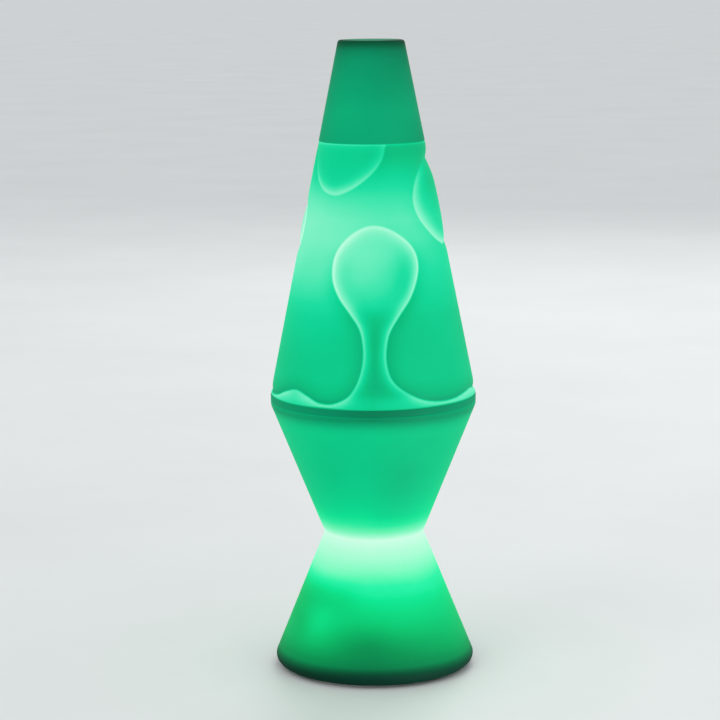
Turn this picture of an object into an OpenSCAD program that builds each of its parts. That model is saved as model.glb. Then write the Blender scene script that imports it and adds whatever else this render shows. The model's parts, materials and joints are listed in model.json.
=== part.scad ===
// Lava-lamp mood light: four glowing moulded shells over a battery-powered light engine.
// Origin at the centre of the plane that the rubber feet stand on, +Z up, front towards -Y.

/* [Outline] */
// Height from the table to the top of the cap
lamp_h = 250; // [248:1:252]
// Height of the seam between the cap and the globe
seam_z = 210.8; // [210:0.2:211.6]
// Height of the sharp rim edge, where the globe's flange starts
rim_z = 110.9; // [110.5:0.1:111.3]
// Height of the narrow waist, where the two halves of the base meet
waist_z = 54.4; // [54:0.1:55]
// Diameter of the cap at its top
cap_top_d = 25.8; // [25:0.2:27]
// Diameter at the seam under the cap
seam_d = 41.6; // [41.2:0.2:42]
// Diameter of the rim, the widest place
rim_d = 81.6; // [81.2:0.2:82]
// Diameter of the waist
waist_d = 39.4; // [39.2:0.2:40]
// Diameter that the foot's cone would reach at the height where its edge turns under
foot_d = 80; // [79.8:0.2:80.2]
// Radius of the foot's rounded bottom edge
foot_round = 3.2; // [3:0.1:3.4]
// Wall of the moulded shells
wall = 2.2; // [2.1:0.1:2.3]

/* [Wax relief] */
// How far the wax shapes stand proud of the globe
relief_h = 0.6; // [0.5:0.1:0.8]
// Radius of the round head of the rising wax
head_r = 18; // [17:0.5:18.5]
// Half width of its stem
stem_r = 4.1; // [3.5:0.1:5]

/* [Batteries] */
// Diameter of an AAA cell
cell_d = 10.5; // [10.3:0.1:10.5]
// Length of an AAA cell over its positive nub
cell_l = 44.5; // [44:0.1:44.5]
// Distance between the cells' axes
cell_pitch = 11.2; // [11:0.1:11.2]
// Angle that the battery door opens to
door_open = 95; // [60:5:95]

/* [Board] */
// Diameter of the round light board
board_d = 44; // [42:1:46]
// Height of the light board's underside
board_z = 23; // [22.5:0.1:23.5]
// Diameter of the domed middle light
dome_d = 8; // [7:0.5:8]

/* [Controls] */
// Travel of the power slider
slider_travel = 4; // [3:0.5:4]
// Travel of the colour button
button_travel = 0.5; // [0.3:0.1:0.5]

/* [Hidden] */

$fn = 96;
eps = 0.01;

// Radii and heights of the outline
cap_top_r = cap_top_d / 2;
seam_r = seam_d / 2;
rim_r = rim_d / 2;
waist_r = waist_d / 2;
foot_r = foot_d / 2;
joint_z = rim_z - 2.9;       // parting line between the globe and the base cup
cup_edge_z = joint_z - 1.3;  // where the rim's straight side turns into the cup's cone
lip_z = 0.8;                 // underside of the foot's edge, above the table
edge_z = lip_z + foot_round; // where the foot's cone meets its rounded edge
cap_edge = 1.2;              // rounding of the cap's top edge
steep_wall = wall + 0.2;     // wall of the two base cones, measured level

// Spigots that join the shells, with the clearance around each
fit = 0.15;
neck_r = 17.7;
neck_h = 5.5;
neck_wall = 1.8;
rim_spigot_r = 37.9;
rim_spigot_h = 3.5;
waist_spigot_r = 16.9;
waist_spigot_h = 7;

// Chassis plate and battery bay
plate_r = 35.2;
plate_z = 2.3;
plate_t = 2;
plate_top = plate_z + plate_t;
bay_x = 16.8;                // half the inside width
bay_y = 25;                  // half the inside length
bay_wall = 1.4;
door_t = 1.6;
door_top = plate_z + door_t;
cell_z = door_top + 0.5 + cell_d / 2;
roof_z = cell_z + cell_d / 2 + 0.4;
roof_t = 1.4;
contact_t = 0.4;

// Battery door hinge
hinge_y = -27.4;
hinge_z = 3.35;
hinge_r = 1.0;
hinge_half = 9;
hinge_pin_r = 0.6;
hinge_pin_l = 1.6;

// Fixings
screw_ring = 31.4;
screw_angles = [30, 150, 210, 330];
boss_r = 3;
boss_top = 13;
pad_at = [22, 21.6];
pad_r = 3.5;
board_t = 1.6;
post_ring = 16.5;
post_angles = [90, 210, 330];

// Controls on the underside
control_x = 25.5;
control_z = 10;
control_t = 1;
control_half = [5, 12.4];
control_post_y = 10.8;
slide_y = -4;                // middle of the slider's slot
knob = [4, 6];
on_y = slide_y + slider_travel / 2;
lever = [1.4, 2];
button_y = 5.5;
button_r = 3;

// Colours
glow = "mediumspringgreen";
glow_dim = "mediumseagreen";
moulding = "whitesmoke";
steel = "silver";

function mix(a, b, t) = a + (b - a) * t;
function cap_r(z) = mix(seam_r, cap_top_r, (z - seam_z) / (lamp_h - seam_z));
function globe_r(z) = mix(rim_r, seam_r, (z - rim_z) / (seam_z - rim_z));
function cup_r(z) = mix(waist_r, rim_r, (z - waist_z) / (cup_edge_z - waist_z));
function cone_r(z) = mix(foot_r, waist_r, (z - edge_z) / (waist_z - edge_z));
foot_lean = atan((foot_r - waist_r) / (waist_z - edge_z));
round_r = foot_r - foot_round / cos(foot_lean); // centre of the rounded edge

function arc(centre, r, from, to, steps) =
    [for (i = [0:steps]) centre + r * [cos(mix(from, to, i / steps)), sin(mix(from, to, i / steps))]];

// ---------- Shells ----------

module cap() {
    bore_top = seam_z + neck_h + 0.3;
    edge_centre = [cap_r(lamp_h - cap_edge) - cap_edge, lamp_h - cap_edge];
    color(glow_dim) rotate_extrude() polygon(concat(
        [[neck_r + fit, seam_z], [seam_r, seam_z]],
        arc(edge_centre, cap_edge, 10, 90, 4),
        [
            [0, lamp_h], [0, lamp_h - wall],
            [cap_r(lamp_h - wall) - wall, lamp_h - wall],
            [cap_r(bore_top) - wall, bore_top], [neck_r + fit, bore_top]
        ]
    ));
}

module globe() {
    shoulder_z = seam_z - wall;
    spigot_in = rim_spigot_r - neck_wall;
    color(glow) union() {
        rotate_extrude() polygon([
            [rim_spigot_r, joint_z - rim_spigot_h], [rim_spigot_r, joint_z],
            [rim_r, joint_z], [rim_r, rim_z], [seam_r, seam_z],
            [neck_r, seam_z], [neck_r, seam_z + neck_h],
            [neck_r - neck_wall, seam_z + neck_h], [neck_r - neck_wall, shoulder_z],
            [globe_r(shoulder_z) - wall, shoulder_z],
            [globe_r(rim_z + 3) - wall, rim_z + 3],
            [spigot_in, rim_z], [spigot_in, joint_z - rim_spigot_h]
        ]);
        relief(2) rising_outline();
        relief(182) rising_outline(0.86);
        relief(-31) blob_outline(209, 16.5, 17);
        relief(77) blob_outline(187.6, 15.6, 17.2);
        relief(-120) blob_outline(177, 17, 12);
        relief(150) blob_outline(208, 14, 12);
        relief(128) blob_outline(150, 9, 8);
    }
}

// One raised wax shape: the outline pushed outwards through a thin layer on the globe's cone.
module relief(turn) {
    low = rim_z + 0.6;
    high = seam_z - 0.4;
    full = low + 3.4; // the layer reaches its full height here, so that it stays inside the rim
    rotate(turn) intersection() {
        rotate_extrude() polygon([
            [globe_r(low) - wall / 2, low], [globe_r(low) + 0.1, low],
            [globe_r(full) + relief_h, full],
            [globe_r(high) + relief_h, high], [globe_r(high) - wall / 2, high]
        ]);
        rotate([90, 0, 0]) linear_extrude(rim_r + 5) children();
    }
}

// A width measured round the globe at a height, as seen straight on.
function seen(width, z) = globe_r(z) * sin(min(88, width / globe_r(z) * 180 / PI));

// Half width of the rising wax: foot flare, stem, neck and round head, up from the rim.
function rising_half(z, head_z, neck_z) =
    z > head_z - 0.733 * head_r ? sqrt(max(0, head_r * head_r - pow(z - head_z, 2)))
    : z > neck_z ? stem_r + 0.45 * head_r * pow((z - neck_z) / (head_z - 0.733 * head_r - neck_z), 2)
    : stem_r + 9.7 * exp(-(z - rim_z - 3.8) / 3.8);

module rising_outline(reach = 1) {
    head_z = rim_z + 51.6 * reach;
    neck_z = rim_z + 23.6 * reach;
    top = head_z + head_r;
    heights = [for (i = [0:26]) mix(rim_z, top, 1 - pow(1 - i / 26, 1.4))];
    side = [for (z = heights) [seen(rising_half(z, head_z, neck_z), z), z]];
    polygon(concat(side, [for (i = [26:-1:0]) [-side[i][0], side[i][1]]]));
}

module blob_outline(middle_z, half_w, half_h) {
    polygon([for (a = [0:12:348]) let (z = middle_z + half_h * sin(a))
        [seen(half_w, middle_z) * cos(a), z]]);
}

module base_cup() {
    seat_z = joint_z - rim_spigot_h - fit;
    spigot_in = waist_spigot_r - neck_wall;
    color(glow_dim) rotate_extrude() polygon([
        [waist_spigot_r, waist_z - waist_spigot_h], [waist_spigot_r, waist_z],
        [waist_r, waist_z], [rim_r, cup_edge_z], [rim_r, joint_z],
        [rim_spigot_r + fit, joint_z], [rim_spigot_r + fit, seat_z],
        [cup_r(seat_z) - steep_wall, seat_z],
        [cup_r(waist_z + 3) - steep_wall, waist_z + 3],
        [spigot_in, waist_z + 1], [spigot_in, waist_z - waist_spigot_h]
    ]);
}

module base_foot() {
    collar_z = waist_z - 4.4;
    inner_low = lip_z + wall;
    color(glow_dim) difference() {
        union() {
            rotate_extrude() polygon(concat(
                [[plate_r + fit, lip_z]],
                arc([round_r, edge_z], foot_round, -90, foot_lean, 8),
                [
                    [waist_r, waist_z], [waist_spigot_r + fit, waist_z],
                    [waist_spigot_r + fit, collar_z],
                    [cone_r(collar_z - 2) - steep_wall, collar_z - 2],
                    [cone_r(inner_low + 2) - steep_wall, inner_low + 2],
                    [plate_r + fit + 1.6, inner_low], [plate_r + fit, inner_low]
                ]
            ));
            for (a = screw_angles) rotate(a) foot_boss();
        }
        for (a = screw_angles) rotate(a)
            translate([screw_ring, 0, plate_top - 1]) cylinder(r = 1.1, h = 8.5);
    }
}

// A screw boss and the rib that ties it to the foot's wall.
module foot_boss() {
    difference() {
        union() {
            translate([screw_ring, 0, plate_top]) cylinder(r = boss_r, h = boss_top - plate_top);
            translate([screw_ring, -0.8, plate_top]) cube([8, 1.6, boss_top - plate_top]);
        }
        rotate_extrude() polygon([
            [cone_r(0) - 1, 0], [60, 0], [60, 20], [cone_r(20) - 1, 20]
        ]);
    }
}

// ---------- Chassis and battery door ----------

module chassis() {
    color(moulding) difference() {
        union() {
            translate([0, 0, plate_z]) cylinder(r = plate_r, h = plate_t);
            round_box(bay_x + bay_wall, bay_y + bay_wall, plate_z, roof_z + roof_t, 2);
            for (a = post_angles) rotate(a)
                translate([post_ring, 0, roof_z]) cylinder(r = 2.4, h = board_z - roof_z);
            for (s = [-1, 1]) {
                translate([control_x, s * control_post_y, plate_z])
                    cylinder(r = 1.5, h = control_z - plate_z);
                translate([s * (hinge_half + 1.5) - 1.5, hinge_y - 2, plate_z]) cube([3, 4, 3]);
            }
        }
        chassis_cuts();
    }
}

module chassis_cuts() {
    round_box(bay_x, bay_y, door_top - eps, roof_z, 1);
    round_box(door_half[0] + fit, door_half[1] + fit, plate_z - 1, door_top, 1);
    hinge_pocket();
    latch_pocket();
    for (a = screw_angles) rotate(a) translate([screw_ring, 0, plate_z - 1]) {
        cylinder(r = 1.5, h = 5);
        cylinder(r = 2.7, h = 2);
    }
    for (a = post_angles) rotate(a)
        translate([post_ring, 0, board_z - 5.5]) cylinder(r = 0.95, h = 7);
    for (s = [-1, 1]) translate([control_x, s * control_post_y, control_z - 4.5])
        cylinder(r = 0.75, h = 6);
    for (sx = [-1, 1], sy = [-1, 1])
        translate([sx * pad_at[0], sy * pad_at[1], plate_z - 1]) cylinder(r = pad_r + 0.1, h = 1.6);
    slot = [knob[0] + 0.3, knob[1] + slider_travel + 0.3];
    translate([control_x - slot[0] / 2, slide_y - slot[1] / 2, plate_z - 1]) cube([slot[0], slot[1], 5]);
    translate([control_x, button_y, plate_z - 1]) cylinder(r = button_r + fit, h = 5);
    // Slots for the two terminal tabs in the bay's roof
    for (s = [-1, 1])
        translate([s * cell_pitch - 1.5, s > 0 ? bay_y - 1 : -bay_y, roof_z - 1]) cube([3, 1, 4]);
}

// A box on the lamp's axis with rounded upright edges.
module round_box(half_x, half_y, low, high, r) {
    translate([0, 0, low]) {
        translate([-half_x + r, -half_y, 0]) cube([2 * (half_x - r), 2 * half_y, high - low]);
        translate([-half_x, -half_y + r, 0]) cube([2 * half_x, 2 * (half_y - r), high - low]);
        for (sx = [-1, 1], sy = [-1, 1])
            translate([sx * (half_x - r), sy * (half_y - r), 0]) cylinder(r = r, h = high - low);
    }
}

door_half = [bay_x + bay_wall - 0.3, bay_y + bay_wall - 0.3];

module hinge_pocket() {
    room = hinge_r + 0.25;
    half = hinge_half + 0.2;
    translate([-half, hinge_y, hinge_z]) rotate([0, 90, 0]) cylinder(r = room, h = 2 * half);
    translate([-half, hinge_y - room, plate_z - 1]) cube([2 * half, 2.9, hinge_z - plate_z + 1]);
    // Room for the door's inner corner as it swings past the plate
    translate([-door_half[0] - fit, hinge_y + 0.8, plate_z - 1])
        cube([2 * (door_half[0] + fit), 1, 1 + door_t]);
    translate([-half - hinge_pin_l - 0.2, hinge_y, hinge_z]) rotate([0, 90, 0])
        cylinder(r = hinge_pin_r + 0.06, h = 2 * (half + hinge_pin_l + 0.2));
}

latch_half = 5;
latch_out = 3.2;

module latch_pocket() {
    translate([-latch_half - 0.4, door_half[1] - 1, plate_z - 1])
        cube([2 * latch_half + 0.8, latch_out + 1.4, 1 + plate_t + 1]);
}

module battery_door() {
    web = 6;
    color(moulding) union() {
        round_box(door_half[0], door_half[1], plate_z, door_top, 1);
        // Hinge knuckle, its web and the stub pins that it turns on
        translate([-hinge_half, hinge_y, hinge_z]) rotate([0, 90, 0])
            cylinder(r = hinge_r, h = 2 * hinge_half);
        translate([-hinge_half, hinge_y, plate_z + 0.2]) cube([2 * hinge_half, 2, hinge_z - plate_z - 0.3]);
        translate([-hinge_half - hinge_pin_l, hinge_y, hinge_z]) rotate([0, 90, 0])
            cylinder(r = hinge_pin_r, h = 2 * (hinge_half + hinge_pin_l));
        // Latch tongue with its finger lip
        difference() {
            translate([-latch_half, door_half[1] - 1, plate_z]) cube([2 * latch_half, 1 + latch_out, 1.2]);
            translate([0, door_half[1] + latch_out + 0.6, plate_z - 1]) cylinder(r = 2, h = 4);
        }
        // Grip ribs on the outside
        for (i = [-2:2]) translate([-5, 17 + i * 1.6, plate_z - 0.35]) cube([10, 0.7, 0.6]);
        // Ribs that hold the cells down
        for (s = [-1, 1]) translate([s * cell_pitch / 2 - 0.5, -14, door_top - eps]) cube([1, 28, 0.4]);
    }
}

module rubber_feet() {
    color("dimgray") for (sx = [-1, 1], sy = [-1, 1])
        translate([sx * pad_at[0], sy * pad_at[1], 0]) {
            cylinder(r1 = pad_r - 0.5, r2 = pad_r, h = 0.5);
            translate([0, 0, 0.5]) cylinder(r = pad_r, h = plate_z + 0.6 - 0.5);
        }
}

// ---------- Screws ----------

// A pan-head cross screw standing on its head, shank up.
module screw(head_r, head_h, shank_r, shank_l) {
    difference() {
        union() {
            cylinder(r1 = head_r - 0.4, r2 = head_r, h = 0.4);
            translate([0, 0, 0.4]) cylinder(r = head_r, h = head_h - 0.4);
            translate([0, 0, head_h]) cylinder(r = shank_r, h = shank_l - 0.8);
            translate([0, 0, head_h + shank_l - 0.8]) cylinder(r1 = shank_r, r2 = 0.2, h = 0.8);
        }
        for (a = [0, 90]) rotate(a)
            translate([-head_r * 0.6, -head_r * 0.12, -1]) cube([head_r * 1.2, head_r * 0.24, 1.7]);
    }
}

module chassis_screws() {
    color(steel) for (a = screw_angles) rotate(a)
        translate([screw_ring, 0, plate_z - 0.5]) screw(2.4, 1.5, 1.05, 8);
}

module board_screws() {
    color(steel) for (a = post_angles) rotate(a)
        translate([post_ring, 0, board_z + board_t + 1.4]) mirror([0, 0, 1]) screw(2, 1.4, 0.9, 6);
}

module control_board_screws() {
    color(steel) for (s = [-1, 1])
        translate([control_x, s * control_post_y, control_z + control_t + 1.1])
            mirror([0, 0, 1]) screw(1.4, 1.1, 0.7, 4);
}

// ---------- Batteries and contacts ----------

// Cell 1 and cell 3 point their positive end to the rear, and cell 2 to the front.
function cell_turn(i) = i == 2 ? 180 : 0;

module cell(i) {
    nub = 0.9;
    from_plate = bay_y - contact_t;
    translate([(i - 2) * cell_pitch, 0, cell_z]) rotate(cell_turn(i))
        translate([0, from_plate, 0]) rotate([90, 0, 0]) {
            color("goldenrod") cylinder(r = 1.9, h = nub + 1);
            color("darkslategray") translate([0, 0, nub]) cylinder(r = cell_d / 2, h = cell_l - nub);
        }
}

// A flat spring-steel contact on one end wall of the bay: its left and right edges are given.
module contact_plate(left, right, rear) {
    y = rear ? bay_y - contact_t : -bay_y;
    color(steel) translate([left, y, cell_z - 4.4]) cube([right - left, contact_t, 8.8]);
}

module terminal(x, rear) {
    y = rear ? bay_y - contact_t : -bay_y;
    contact_plate(x - 4.4, x + 4.4, rear);
    color(steel) translate([x - 1.2, y, cell_z]) cube([2.4, contact_t, roof_z + roof_t + 2 - cell_z]);
}

module contact_positive() { union() terminal(cell_pitch, true); }
module contact_negative() { union() terminal(-cell_pitch, false); }
module contact_link_rear() { contact_plate(-cell_pitch - 4.4, 4.4, true); }
module contact_link_front() { contact_plate(-4.4, cell_pitch + 4.4, false); }

// A conical coil spring from a contact plate to a cell's flat end.
module contact_springs() {
    room = 2 * bay_y - 2 * contact_t - cell_l;
    wire = 0.25;
    turns = 3;
    path = [for (i = [0:48]) let (t = i / 48, a = 360 * turns * t, r = mix(3.6, 2.3, t))
        [r * cos(a), r * sin(a), mix(wire, room - wire, t)]];
    color(steel) for (i = [1:3])
        translate([(i - 2) * cell_pitch, 0, cell_z]) rotate(cell_turn(i))
            translate([0, -bay_y + contact_t, 0]) rotate([-90, 0, 0]) tube(path, wire, 8);
}

// ---------- Light board ----------

module led_board() {
    color("ghostwhite") difference() {
        translate([0, 0, board_z]) cylinder(d = board_d, h = board_t);
        for (a = post_angles) rotate(a)
            translate([post_ring, 0, board_z - 1]) cylinder(r = 1.3, h = board_t + 2);
        for (sx = [-1, 1], sy = [-1, 1])
            translate([sx * 1.27, sy * 1.27, board_z - 1]) cylinder(r = 0.45, h = board_t + 2);
    }
}

board_top = board_z + board_t;
dome_base = board_top + 1;

module center_led() {
    tall = 6;
    color("honeydew") union() {
        translate([0, 0, dome_base]) cylinder(r = dome_d / 2 + 0.5, h = 1.2);
        translate([0, 0, dome_base + 1]) cylinder(d = dome_d, h = tall - 1);
        intersection() {
            translate([0, 0, dome_base + tall]) sphere(d = dome_d);
            translate([0, 0, dome_base + tall - eps]) cylinder(r = dome_d, h = dome_d);
        }
    }
}

module center_led_leads() {
    color(steel) for (sx = [-1, 1], sy = [-1, 1])
        translate([sx * 1.27, sy * 1.27, board_z - 1.5]) cylinder(r = 0.3, h = dome_base - board_z + 1.5);
}

module side_leds() {
    for (a = [45:90:315]) rotate(a) translate([12.5, 0, board_top]) {
        color("white") difference() {
            translate([-2.5, -2.5, 0]) cube([5, 5, 1.6]);
            translate([0, 0, 1.1]) cylinder(r = 2, h = 1);
        }
    }
}

module controller_chip() {
    color("black") union() {
        translate([-4.3, -11.5, board_top + 0.1]) cube([8.6, 3.9, 1.4]);
        for (i = [0:6], s = [0, 1])
            translate([-4 + i * 1.27, -12.5 + s * 4.9, board_top]) cube([0.45, 1, 0.7]);
    }
}

module resistors() {
    color("dimgray") for (i = [0:4])
        translate([-5 + i * 2.2, 7.6, board_top]) cube([1.2, 2, 0.5]);
}

module capacitor() {
    color("slategray") translate([-15.5, 3.5, board_top]) cylinder(r = 2.5, h = 5.4);
}

// ---------- Controls ----------

module control_board() {
    color("seagreen") difference() {
        translate([control_x - control_half[0], -control_half[1], control_z])
            cube([2 * control_half[0], 2 * control_half[1], control_t]);
        for (s = [-1, 1]) translate([control_x, s * control_post_y, control_z - 1])
            cylinder(r = 0.9, h = control_t + 2);
    }
}

switch_low = control_z - 3.6;

module slide_switch() {
    slot = lever[1] + slider_travel + 0.2;
    color(steel) difference() {
        translate([control_x - 2.2, slide_y - 4.3, switch_low]) cube([4.4, 8.6, control_z - switch_low]);
        translate([control_x - lever[0] / 2 - 0.1, slide_y - slot / 2, switch_low - 1])
            cube([lever[0] + 0.2, slot, 2.3]);
    }
}

module switch_lever() {
    color("black") translate([control_x - lever[0] / 2, on_y - lever[1] / 2, plate_top - 0.8])
        cube([lever[0], lever[1], switch_low + 1 - plate_top + 0.8]);
}

// The thumb piece, with grip ribs underneath, a flange above the plate and a socket for the lever.
module power_slider() {
    low = 1.5;
    flange_low = plate_top + 0.15;
    color("dimgray") difference() {
        union() {
            translate([control_x - knob[0] / 2, on_y - knob[1] / 2, low + 0.4])
                cube([knob[0], knob[1], flange_low - low]);
            for (i = [-2:2])
                translate([control_x - knob[0] / 2, on_y + i * 1.3 - 0.35, low]) cube([knob[0], 0.7, 0.6]);
            translate([control_x - knob[0] / 2 - 1.2, on_y - knob[1] / 2, flange_low])
                cube([knob[0] + 2.4, knob[1], 0.8]);
        }
        translate([control_x - lever[0] / 2 - 0.05, on_y - lever[1] / 2 - 0.05, plate_top - 0.8])
            cube([lever[0] + 0.1, lever[1] + 0.1, 3]);
    }
}

button_top = plate_top + 0.9;
tact_low = control_z - 3.5;

module color_button() {
    color("dimgray") translate([control_x, button_y, 0]) {
        translate([0, 0, 1.6]) cylinder(r1 = button_r - 0.4, r2 = button_r, h = 0.4);
        translate([0, 0, 2]) cylinder(r = button_r, h = button_top - 2);
        translate([0, 0, plate_top + 0.1]) cylinder(r = button_r + 0.7, h = button_top - plate_top - 0.1);
    }
}

module tact_plunger() {
    color("black") translate([control_x, button_y, button_top])
        cylinder(r = 1.7, h = tact_low + 0.4 - button_top);
}

module tact_switch() {
    color(steel) difference() {
        translate([control_x - 3, button_y - 3, tact_low]) cube([6, 6, control_z - tact_low]);
        translate([control_x, button_y, tact_low - 1])
            cylinder(r = 1.8, h = 1.4 + button_travel + 0.3);
    }
}

// ---------- Wires ----------

// Routes of the leads, each from its solder joint to the light board.
red_route = [[11.2, 25, 17.9], [11.2, 25.5, 17.9], [11.2, 26, 17.9], [11.3, 27, 19.4], [11.6, 26.4, 22.6],
    [11.6, 23.4, 26.2], [11.5, 20.6, 27.8], [11.2, 18, 28], [11, 16.3, 26.6], [11, 16.3, 25.6],
    [11, 16.3, 24.6]];
black_route = [for (p = red_route) [-p[0], -p[1], p[2]]];
function control_route(y) = [[22.6, y, 11], [22.6, y, 11.8], [22.6, y, 12.6], [23, y, 15.5], [24, y, 18.6],
    [24.4, y, 21.8], [24, y, 25], [22.4, y, 27.4], [20, y, 28], [18.2, y, 26.6], [18.2, y, 25.6],
    [18.2, y, 24.6]];

function bend(p, i, t) = let (
    last = len(p) - 1,
    a = p[max(0, i - 1)], b = p[i], c = p[min(last, i + 1)], d = p[min(last, i + 2)]
) 0.5 * (2 * b + (c - a) * t + (2 * a - 5 * b + 4 * c - d) * t * t + (3 * b - a - 3 * c + d) * t * t * t);
function smooth(p, steps) = concat(
    [for (i = [0:len(p) - 2], k = [0:steps - 1]) bend(p, i, k / steps)], [p[len(p) - 1]]);

function unit(v) = v / norm(v);
function heading(p, i) = unit(p[min(i + 1, len(p) - 1)] - p[max(i - 1, 0)]);

// A round tube swept along a path: one closed solid.
module tube(path, r, sides) {
    n = len(path);
    rings = [for (i = [0:n - 1]) let (
        h = heading(path, i),
        across = unit(cross(h, abs(h[2]) > 0.9 ? [0.3, 1, 0] : [0, 0, 1])),
        other = cross(h, across)
    ) for (k = [0:sides - 1]) path[i] + r * (cos(360 * k / sides) * across + sin(360 * k / sides) * other)];
    sides_faces = [for (i = [0:n - 2], k = [0:sides - 1]) let (j = (k + 1) % sides)
        [i * sides + k, i * sides + j, (i + 1) * sides + j, (i + 1) * sides + k]];
    polyhedron(rings, concat(
        [[for (k = [sides - 1:-1:0]) k]], sides_faces, [[for (k = [0:sides - 1]) (n - 1) * sides + k]]));
}

module wire(route, tint) { color(tint) tube(smooth(route, 2), 0.65, 8); }

// ---------- Nodes ----------

cap();
globe();
base_cup();
base_foot();
chassis();
battery_door();
rubber_feet();
chassis_screws();
cell(1);  // battery_1
cell(2);  // battery_2
cell(3);  // battery_3
contact_positive();
contact_negative();
contact_link_front();
contact_link_rear();
contact_springs();
led_board();
center_led();
center_led_leads();
side_leds();
controller_chip();
resistors();
capacitor();
board_screws();
control_board();
control_board_screws();
slide_switch();
switch_lever();
power_slider();
tact_switch();
tact_plunger();
color_button();
wire(red_route, "crimson");  // wire_red
wire(black_route, "black");  // wire_black
wire(control_route(-3), "gold");  // control_wire_1
wire(control_route(0), "royalblue");  // control_wire_2
wire(control_route(3), "ivory");  // control_wire_3
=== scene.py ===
"""Looks of the lava-lamp mood light: glowing moulded shells, wax relief, and the parts inside and under it.

Lengths are in metres unless a name or a comment says mm. The front of the lamp faces -Y, and angles round
it are 0 there and grow towards +X.
"""

import json
import math
import bmesh
import bpy
import numpy as np
from mathutils import Matrix, Vector


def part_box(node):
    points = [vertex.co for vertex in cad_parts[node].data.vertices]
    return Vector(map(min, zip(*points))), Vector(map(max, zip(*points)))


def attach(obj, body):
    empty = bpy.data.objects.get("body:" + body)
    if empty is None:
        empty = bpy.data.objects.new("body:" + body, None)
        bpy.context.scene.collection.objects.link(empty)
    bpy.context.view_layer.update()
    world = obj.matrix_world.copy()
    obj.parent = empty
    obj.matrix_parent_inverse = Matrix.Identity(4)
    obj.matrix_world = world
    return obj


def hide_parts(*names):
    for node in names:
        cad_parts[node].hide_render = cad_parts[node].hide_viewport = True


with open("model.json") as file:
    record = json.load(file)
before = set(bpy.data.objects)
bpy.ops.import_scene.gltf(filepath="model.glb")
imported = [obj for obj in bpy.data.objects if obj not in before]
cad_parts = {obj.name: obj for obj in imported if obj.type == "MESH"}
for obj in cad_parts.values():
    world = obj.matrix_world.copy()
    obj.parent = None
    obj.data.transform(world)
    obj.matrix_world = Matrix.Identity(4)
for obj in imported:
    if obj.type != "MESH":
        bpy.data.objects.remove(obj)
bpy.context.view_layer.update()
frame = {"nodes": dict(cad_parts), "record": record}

MM = 0.001
SHELL_COLUMNS = 256
GLOBE_COLUMNS = 440
GLOBE_ROWS = 178
CURVE_STEPS = 7  # points of a wax outline's curve for each of its corners


# ---------------- sizes from the frame
cap_low, cap_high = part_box("cap")
globe_low, globe_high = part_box("globe")
cup_low, cup_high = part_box("base_cup")
foot_low, foot_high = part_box("base_foot")

TOP_Z = cap_high.z
SEAM_Z = cap_low.z        # where the cap meets the globe
JOINT_Z = cup_high.z      # where the globe meets the base
WAIST_Z = foot_high.z
LIP_Z = foot_low.z
RIM_R = globe_high.x
SEAM_R = cap_high.x


# ---------------- sizes of the shells' mouldings
RIM_Z = JOINT_Z + 2.9 * MM        # where the globe's cone starts, above its upright rim
CUP_EDGE_Z = JOINT_Z - 1.3 * MM   # where the cup's cone ends, below its rim band
CAP_TOP_R = 12.9 * MM
WAIST_R = 19.7 * MM
FOOT_R = 40.0 * MM
FOOT_ROUND = 3.2 * MM
FOOT_EDGE_Z = LIP_Z + FOOT_ROUND
WALL = 2.2 * MM
STEEP_WALL = WALL + 0.2 * MM      # the wall measured level, in the base's steeper cones
THIN_WALL = 1.8 * MM              # necks and spigots


def cone(z0, r0, z1, r1):
    """The radius of a cone through two circles, as a function of the height."""
    return lambda z: r0 + (r1 - r0) * (z - z0) / (z1 - z0)


cap_r = cone(SEAM_Z, SEAM_R, TOP_Z, CAP_TOP_R)
globe_r = cone(RIM_Z, RIM_R, SEAM_Z, SEAM_R)
cup_r = cone(WAIST_Z, WAIST_R, CUP_EDGE_Z, RIM_R)
foot_r = cone(FOOT_EDGE_Z, FOOT_R, WAIST_Z, WAIST_R)


# ---------------- outlines and profiles
def near(r, z, *steps_mm):
    """Profile points set off from (r, z) by steps of (outwards, upwards) in mm."""
    return [(r + out * MM, z + up * MM) for out, up in steps_mm]


def on(radius_at, z, inset=0.0):
    """The profile point at height z on a cone, or inset from it."""
    return radius_at(z) - inset, z


def arc(centre, radius, start_deg, end_deg, steps):
    """Points of an arc in (radius, height), its ends included."""
    angles = np.radians(np.linspace(start_deg, end_deg, steps + 1))
    return [(centre[0] + radius * math.cos(a), centre[1] + radius * math.sin(a)) for a in angles]


def straight(start, end, steps):
    """Points from start to end, without the end."""
    return [tuple(np.array(start) + (np.array(end) - np.array(start)) * i / steps) for i in range(steps)]


def rounded_corner(start, corner, end, steps=6):
    """A quadratic curve from start to end, pulled towards corner."""
    a, b, c = (np.array(p) for p in (start, corner, end))
    return [tuple((1 - t) ** 2 * a + 2 * t * (1 - t) * b + t * t * c) for t in np.linspace(0, 1, steps + 1)]


def rounded_loop(corners, radius):
    """A closed outline through corners, each cut by a small curve."""
    corners = [np.array(c) for c in corners]
    out = []
    for i, corner in enumerate(corners):
        before, after = corners[i - 1], corners[(i + 1) % len(corners)]
        start = corner + (before - corner) / np.linalg.norm(before - corner) * radius
        end = corner + (after - corner) / np.linalg.norm(after - corner) * radius
        out += rounded_corner(start, corner, end)
    return out


def smooth_loop(points, turn):
    """A closed Catmull-Rom curve through (degrees, height) points; turn is what one lap adds to the angle."""
    count = len(points)
    lap = [np.array(p, float) for p in points]
    shift = np.array([turn, 0.0])

    def at(i):
        return lap[i % count] + shift * (i // count)

    out = []
    for i in range(count):
        a, b, c, d = at(i - 1), at(i), at(i + 1), at(i + 2)
        for k in range(CURVE_STEPS):
            t = k / CURVE_STEPS
            out.append(0.5 * (2 * b + (c - a) * t + (2 * a - 5 * b + 4 * c - d) * t * t
                              + (3 * b - a - 3 * c + d) * t ** 3))
    return np.array(out)


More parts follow.
